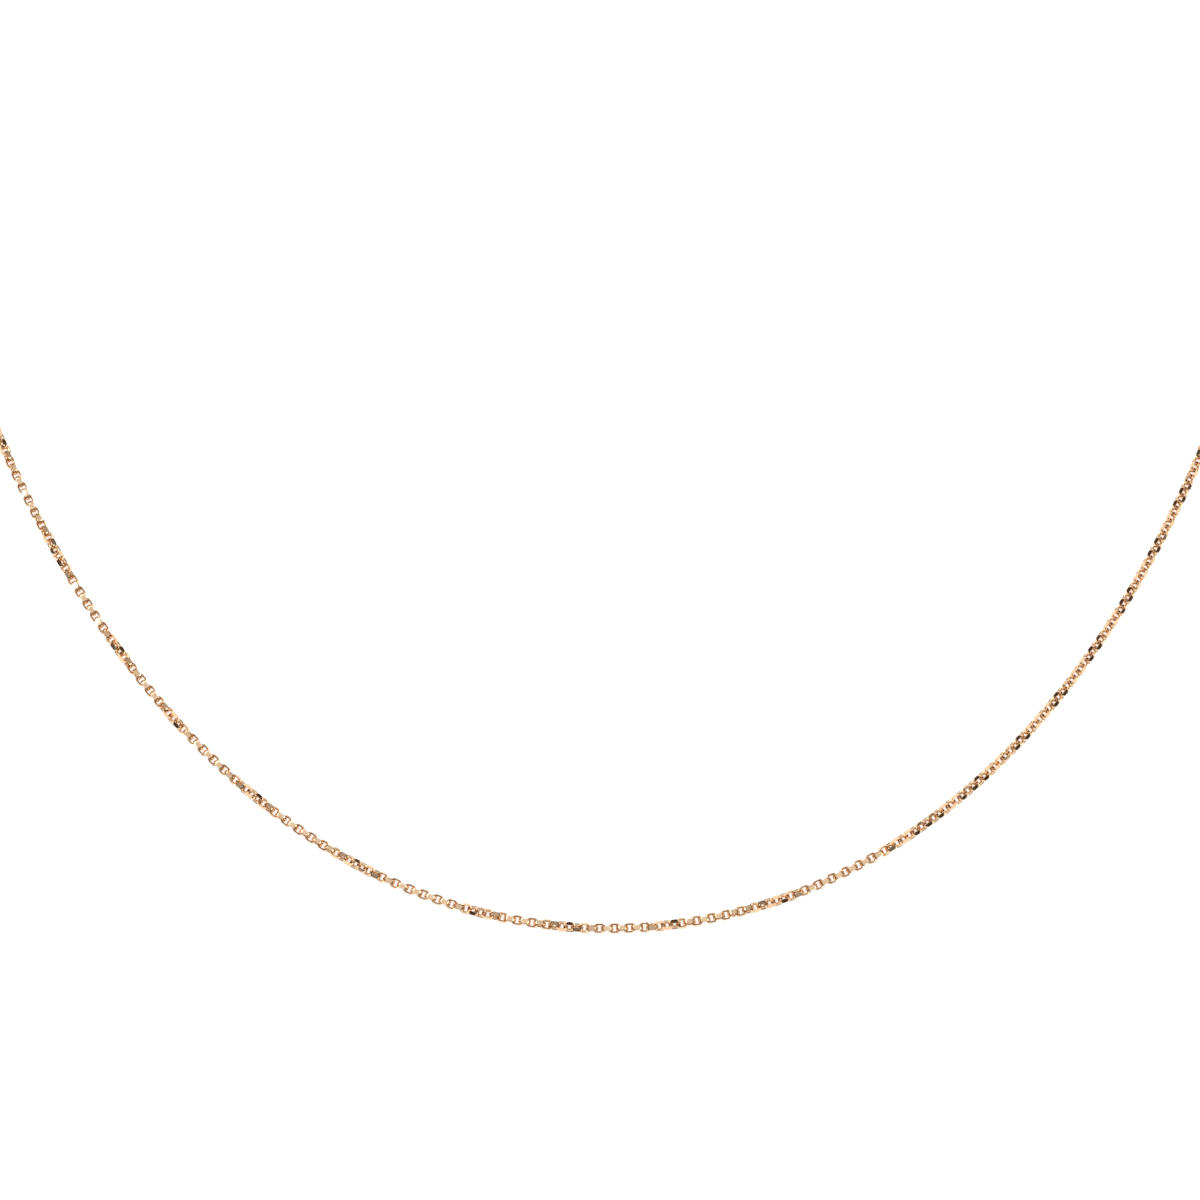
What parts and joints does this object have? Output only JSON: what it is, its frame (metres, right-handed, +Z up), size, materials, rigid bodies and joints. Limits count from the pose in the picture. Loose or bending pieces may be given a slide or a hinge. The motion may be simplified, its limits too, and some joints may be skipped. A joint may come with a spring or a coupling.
{
  "type": "chain necklace",
  "caption": "Fine diamond-cut cable chain necklace with a bolt ring clasp, lying unfastened in a U.",
  "frame": {"origin": "on the surface that the chain lies on, right under the front centre of the chain", "axes": "+X along the chain at its front centre, +Y back between the two arms, +Z up"},
  "size_m": [0.1884, 0.1756, 0.0011],
  "materials": {
    "rose_gold": "polished",
    "spring_steel": "drawn wire"
  },
  "bodies": {
    "chain_front": {"chain_front": "rose_gold"},
    "chain_left_01": {"chain_left_01": "rose_gold"},
    "chain_left_02": {"chain_left_02": "rose_gold"},
    "chain_left_03": {"chain_left_03": "rose_gold"},
    "chain_left_04": {"chain_left_04": "rose_gold"},
    "chain_left_05": {"chain_left_05": "rose_gold"},
    "chain_left_06": {"chain_left_06": "rose_gold"},
    "chain_left_07": {"chain_left_07": "rose_gold"},
    "chain_left_08": {"chain_left_08": "rose_gold"},
    "chain_left_09": {"chain_left_09": "rose_gold"},
    "chain_left_10": {"chain_left_10": "rose_gold"},
    "chain_left_11": {"chain_left_11": "rose_gold"},
    "chain_left_12": {"chain_left_12": "rose_gold"},
    "chain_left_13": {"chain_left_13": "rose_gold"},
    "chain_left_14": {"chain_left_14": "rose_gold"},
    "chain_left_15": {"chain_left_15": "rose_gold"},
    "chain_left_16": {"chain_left_16": "rose_gold"},
    "chain_left_17": {"chain_left_17": "rose_gold"},
    "chain_left_18": {"chain_left_18": "rose_gold"},
    "chain_left_19": {"chain_left_19": "rose_gold"},
    "chain_left_20": {"chain_left_20": "rose_gold"},
    "chain_left_21": {"chain_left_21": "rose_gold"},
    "chain_left_22": {"chain_left_22": "rose_gold"},
    "chain_left_23": {"chain_left_23": "rose_gold"},
    "chain_left_24": {"chain_left_24": "rose_gold"},
    "chain_left_25": {"chain_left_25": "rose_gold"},
    "chain_left_26": {"chain_left_26": "rose_gold"},
    "chain_right_01": {"chain_right_01": "rose_gold"},
    "chain_right_02": {"chain_right_02": "rose_gold"},
    "chain_right_03": {"chain_right_03": "rose_gold"},
    "chain_right_04": {"chain_right_04": "rose_gold"},
    "chain_right_05": {"chain_right_05": "rose_gold"},
    "chain_right_06": {"chain_right_06": "rose_gold"},
    "chain_right_07": {"chain_right_07": "rose_gold"},
    "chain_right_08": {"chain_right_08": "rose_gold"},
    "chain_right_09": {"chain_right_09": "rose_gold"},
    "chain_right_10": {"chain_right_10": "rose_gold"},
    "chain_right_11": {"chain_right_11": "rose_gold"},
    "chain_right_12": {"chain_right_12": "rose_gold"},
    "chain_right_13": {"chain_right_13": "rose_gold"},
    "chain_right_14": {"chain_right_14": "rose_gold"},
    "chain_right_15": {"chain_right_15": "rose_gold"},
    "chain_right_16": {"chain_right_16": "rose_gold"},
    "chain_right_17": {"chain_right_17": "rose_gold"},
    "chain_right_18": {"chain_right_18": "rose_gold"},
    "chain_right_19": {"chain_right_19": "rose_gold"},
    "chain_right_20": {"chain_right_20": "rose_gold"},
    "chain_right_21": {"chain_right_21": "rose_gold"},
    "chain_right_22": {"chain_right_22": "rose_gold"},
    "chain_right_23": {"chain_right_23": "rose_gold"},
    "chain_right_24": {"chain_right_24": "rose_gold"},
    "chain_right_25": {"chain_right_25": "rose_gold"},
    "chain_right_26": {"chain_right_26": "rose_gold"},
    "clasp_jump_ring": {"clasp_jump_ring": "rose_gold"},
    "clasp": {"clasp_body": "rose_gold", "clasp_spring": "spring_steel", "clasp_stop_plug": "rose_gold"},
    "clasp_tongue": {"clasp_tongue": "rose_gold", "clasp_thumb_knob": "rose_gold"},
    "end_ring": {"end_ring": "rose_gold"}
  },
  "joints": [
    {"name": "left_01_turn", "type": "hinge", "parent": "chain_front", "child": "chain_left_01", "pos_m": [-0.00378, 0.00014, 0.00055], "axis": [0, 0, 1], "range_deg": [-30, 30]},
    {"name": "left_02_lift", "type": "hinge", "parent": "chain_left_01", "child": "chain_left_02", "pos_m": [-0.01136, 0.00122, 0.00055], "axis": [0.216, 0.9764, 0], "range_deg": [-30, 30]},
    {"name": "left_03_turn", "type": "hinge", "parent": "chain_left_02", "child": "chain_left_03", "pos_m": [-0.01885, 0.0034, 0.00055], "axis": [0, 0, -1], "range_deg": [-30, 30]},
    {"name": "left_04_lift", "type": "hinge", "parent": "chain_left_03", "child": "chain_left_04", "pos_m": [-0.02627, 0.00675, 0.00055], "axis": [-0.4705, -0.8824, 0], "range_deg": [-30, 30]},
    {"name": "left_05_turn", "type": "hinge", "parent": "chain_left_04", "child": "chain_left_05", "pos_m": [-0.03302, 0.01093, 0.00055], "axis": [0, 0, -1], "range_deg": [-30, 30]},
    {"name": "left_06_lift", "type": "hinge", "parent": "chain_left_05", "child": "chain_left_06", "pos_m": [-0.03896, 0.01565, 0.00055], "axis": [-0.6622, -0.7493, 0], "range_deg": [-30, 30]},
    {"name": "left_07_turn", "type": "hinge", "parent": "chain_left_06", "child": "chain_left_07", "pos_m": [-0.04435, 0.02091, 0.00055], "axis": [0, 0, 1], "range_deg": [-30, 30]},
    {"name": "left_08_lift", "type": "hinge", "parent": "chain_left_07", "child": "chain_left_08", "pos_m": [-0.0494, 0.02682, 0.00055], "axis": [0.7893, 0.614, 0], "range_deg": [-30, 30]},
    {"name": "left_09_turn", "type": "hinge", "parent": "chain_left_08", "child": "chain_left_09", "pos_m": [-0.05397, 0.03315, 0.00055], "axis": [0, 0, 1], "range_deg": [-30, 30]},
    {"name": "left_10_lift", "type": "hinge", "parent": "chain_left_09", "child": "chain_left_10", "pos_m": [-0.05828, 0.04014, 0.00055], "axis": [0.867, 0.4983, 0], "range_deg": [-30, 30]},
    {"name": "left_11_turn", "type": "hinge", "parent": "chain_left_10", "child": "chain_left_11", "pos_m": [-0.062, 0.04708, 0.00055], "axis": [0, 0, -1], "range_deg": [-30, 30]},
    {"name": "left_12_lift", "type": "hinge", "parent": "chain_left_11", "child": "chain_left_12", "pos_m": [-0.0652, 0.05385, 0.00055], "axis": [-0.9134, -0.4071, 0], "range_deg": [-30, 30]},
    {"name": "left_13_turn", "type": "hinge", "parent": "chain_left_12", "child": "chain_left_13", "pos_m": [-0.06816, 0.06087, 0.00055], "axis": [0, 0, -1], "range_deg": [-30, 30]},
    {"name": "left_14_lift", "type": "hinge", "parent": "chain_left_13", "child": "chain_left_14", "pos_m": [-0.07093, 0.0682, 0.00055], "axis": [-0.9421, -0.3353, 0], "range_deg": [-30, 30]},
    {"name": "left_15_turn", "type": "hinge", "parent": "chain_left_14", "child": "chain_left_15", "pos_m": [-0.07353, 0.07589, 0.00055], "axis": [0, 0, 1], "range_deg": [-30, 30]},
    {"name": "left_16_lift", "type": "hinge", "parent": "chain_left_15", "child": "chain_left_16", "pos_m": [-0.07583, 0.08349, 0.00055], "axis": [0.9609, 0.2768, 0], "range_deg": [-30, 30]},
    {"name": "left_17_turn", "type": "hinge", "parent": "chain_left_16", "child": "chain_left_17", "pos_m": [-0.07786, 0.09096, 0.00055], "axis": [0, 0, 1], "range_deg": [-30, 30]},
    {"name": "left_18_lift", "type": "hinge", "parent": "chain_left_17", "child": "chain_left_18", "pos_m": [-0.07963, 0.09814, 0.00055], "axis": [0.9736, 0.2281, 0], "range_deg": [-30, 30]},
    {"name": "left_19_turn", "type": "hinge", "parent": "chain_left_18", "child": "chain_left_19", "pos_m": [-0.08133, 0.10572, 0.00055], "axis": [0, 0, -1], "range_deg": [-30, 30]},
    {"name": "left_20_lift", "type": "hinge", "parent": "chain_left_19", "child": "chain_left_20", "pos_m": [-0.08292, 0.11357, 0.00055], "axis": [-0.9819, -0.1896, 0], "range_deg": [-30, 30]},
    {"name": "left_21_turn", "type": "hinge", "parent": "chain_left_20", "child": "chain_left_21", "pos_m": [-0.08439, 0.12151, 0.00055], "axis": [0, 0, -1], "range_deg": [-30, 30]},
    {"name": "left_22_lift", "type": "hinge", "parent": "chain_left_21", "child": "chain_left_22", "pos_m": [-0.0857, 0.1292, 0.00055], "axis": [-0.9867, -0.1626, 0], "range_deg": [-30, 30]},
    {"name": "left_23_turn", "type": "hinge", "parent": "chain_left_22", "child": "chain_left_23", "pos_m": [-0.08689, 0.13664, 0.00055], "axis": [0, 0, 1], "range_deg": [-30, 30]},
    {"name": "left_24_lift", "type": "hinge", "parent": "chain_left_23", "child": "chain_left_24", "pos_m": [-0.08803, 0.14413, 0.00055], "axis": [0.9891, 0.1472, 0], "range_deg": [-30, 30]},
    {"name": "left_25_turn", "type": "hinge", "parent": "chain_left_24", "child": "chain_left_25", "pos_m": [-0.08916, 0.15187, 0.00055], "axis": [0, 0, 1], "range_deg": [-30, 30]},
    {"name": "left_26_lift", "type": "hinge", "parent": "chain_left_25", "child": "chain_left_26", "pos_m": [-0.09032, 0.15997, 0.00055], "axis": [0.99, 0.1409, 0], "range_deg": [-30, 30]},
    {"name": "right_01_turn", "type": "hinge", "parent": "chain_front", "child": "chain_right_01", "pos_m": [0.00406, 0.00016, 0.00055], "axis": [0, 0, 1], "range_deg": [-30, 30]},
    {"name": "right_02_lift", "type": "hinge", "parent": "chain_right_01", "child": "chain_right_02", "pos_m": [0.01185, 0.00133, 0.00055], "axis": [0.216, -0.9764, 0], "range_deg": [-30, 30]},
    {"name": "right_03_turn", "type": "hinge", "parent": "chain_right_02", "child": "chain_right_03", "pos_m": [0.0192, 0.00353, 0.00055], "axis": [0, 0, -1], "range_deg": [-30, 30]},
    {"name": "right_04_lift", "type": "hinge", "parent": "chain_right_03", "child": "chain_right_04", "pos_m": [0.02596, 0.00658, 0.00055], "axis": [-0.4705, 0.8824, 0], "range_deg": [-30, 30]},
    {"name": "right_05_turn", "type": "hinge", "parent": "chain_right_04", "child": "chain_right_05", "pos_m": [0.03285, 0.01081, 0.00055], "axis": [0, 0, -1], "range_deg": [-30, 30]},
    {"name": "right_06_lift", "type": "hinge", "parent": "chain_right_05", "child": "chain_right_06", "pos_m": [0.03893, 0.01562, 0.00055], "axis": [-0.6622, 0.7493, 0], "range_deg": [-30, 30]},
    {"name": "right_07_turn", "type": "hinge", "parent": "chain_right_06", "child": "chain_right_07", "pos_m": [0.04449, 0.02106, 0.00055], "axis": [0, 0, 1], "range_deg": [-30, 30]},
    {"name": "right_08_lift", "type": "hinge", "parent": "chain_right_07", "child": "chain_right_08", "pos_m": [0.04957, 0.02704, 0.00055], "axis": [0.7893, -0.614, 0], "range_deg": [-30, 30]},
    {"name": "right_09_turn", "type": "hinge", "parent": "chain_right_08", "child": "chain_right_09", "pos_m": [0.0541, 0.03336, 0.00055], "axis": [0, 0, 1], "range_deg": [-30, 30]},
    {"name": "right_10_lift", "type": "hinge", "parent": "chain_right_09", "child": "chain_right_10", "pos_m": [0.05818, 0.03996, 0.00055], "axis": [0.867, -0.4983, 0], "range_deg": [-30, 30]},
    {"name": "right_11_turn", "type": "hinge", "parent": "chain_right_10", "child": "chain_right_11", "pos_m": [0.0619, 0.04688, 0.00055], "axis": [0, 0, -1], "range_deg": [-30, 30]},
    {"name": "right_12_lift", "type": "hinge", "parent": "chain_right_11", "child": "chain_right_12", "pos_m": [0.06533, 0.05414, 0.00055], "axis": [-0.9134, 0.4071, 0], "range_deg": [-30, 30]},
    {"name": "right_13_turn", "type": "hinge", "parent": "chain_right_12", "child": "chain_right_13", "pos_m": [0.06823, 0.06104, 0.00055], "axis": [0, 0, -1], "range_deg": [-30, 30]},
    {"name": "right_14_lift", "type": "hinge", "parent": "chain_right_13", "child": "chain_right_14", "pos_m": [0.07092, 0.06816, 0.00055], "axis": [-0.9421, 0.3353, 0], "range_deg": [-30, 30]},
    {"name": "right_15_turn", "type": "hinge", "parent": "chain_right_14", "child": "chain_right_15", "pos_m": [0.07344, 0.07562, 0.00055], "axis": [0, 0, 1], "range_deg": [-30, 30]},
    {"name": "right_16_lift", "type": "hinge", "parent": "chain_right_15", "child": "chain_right_16", "pos_m": [0.07581, 0.08343, 0.00055], "axis": [0.9609, -0.2768, 0], "range_deg": [-30, 30]},
    {"name": "right_17_turn", "type": "hinge", "parent": "chain_right_16", "child": "chain_right_17", "pos_m": [0.07788, 0.09102, 0.00055], "axis": [0, 0, 1], "range_deg": [-30, 30]},
    {"name": "right_18_lift", "type": "hinge", "parent": "chain_right_17", "child": "chain_right_18", "pos_m": [0.0797, 0.09841, 0.00055], "axis": [0.9736, -0.2281, 0], "range_deg": [-30, 30]},
    {"name": "right_19_turn", "type": "hinge", "parent": "chain_right_18", "child": "chain_right_19", "pos_m": [0.08133, 0.10572, 0.00055], "axis": [0, 0, -1], "range_deg": [-30, 30]},
    {"name": "right_20_lift", "type": "hinge", "parent": "chain_right_19", "child": "chain_right_20", "pos_m": [0.08288, 0.11338, 0.00055], "axis": [-0.9819, 0.1896, 0], "range_deg": [-30, 30]},
    {"name": "right_21_turn", "type": "hinge", "parent": "chain_right_20", "child": "chain_right_21", "pos_m": [0.08438, 0.12146, 0.00055], "axis": [0, 0, -1], "range_deg": [-30, 30]},
    {"name": "right_22_lift", "type": "hinge", "parent": "chain_right_21", "child": "chain_right_22", "pos_m": [0.0857, 0.12921, 0.00055], "axis": [-0.9867, 0.1626, 0], "range_deg": [-30, 30]},
    {"name": "right_23_turn", "type": "hinge", "parent": "chain_right_22", "child": "chain_right_23", "pos_m": [0.0869, 0.13671, 0.00055], "axis": [0, 0, 1], "range_deg": [-30, 30]},
    {"name": "right_24_lift", "type": "hinge", "parent": "chain_right_23", "child": "chain_right_24", "pos_m": [0.08803, 0.14414, 0.00055], "axis": [0.9891, -0.1472, 0], "range_deg": [-30, 30]},
    {"name": "right_25_turn", "type": "hinge", "parent": "chain_right_24", "child": "chain_right_25", "pos_m": [0.08916, 0.15187, 0.00055], "axis": [0, 0, 1], "range_deg": [-30, 30]},
    {"name": "right_26_lift", "type": "hinge", "parent": "chain_right_25", "child": "chain_right_26", "pos_m": [0.09031, 0.15992, 0.00055], "axis": [0.99, -0.1409, 0], "range_deg": [-30, 30]},
    {"name": "jump_ring_turn", "type": "hinge", "parent": "chain_left_26", "child": "clasp_jump_ring", "pos_m": [-0.09143, 0.16779, 0.00055], "axis": [0, 0, 1], "range_deg": [-50, 50]},
    {"name": "clasp_lift", "type": "hinge", "parent": "clasp_jump_ring", "child": "clasp", "pos_m": [-0.09162, 0.16916, 0.00055], "axis": [0.9902, 0.1398, 0], "range_deg": [-45, 90]},
    {"name": "tongue_slide", "type": "hinge", "parent": "clasp", "child": "clasp_tongue", "pos_m": [-0.09207, 0.17236, 0.00055], "axis": [0, 0, 1], "range_deg": [0, 58], "stiffness_Nm_per_rad": 0.0015, "springref_deg": -20.05},
    {"name": "end_ring_lift", "type": "hinge", "parent": "chain_right_26", "child": "end_ring", "pos_m": [0.09136, 0.1673, 0.00055], "axis": [0.9902, -0.1398, 0], "range_deg": [-20, 110]}
  ]
}
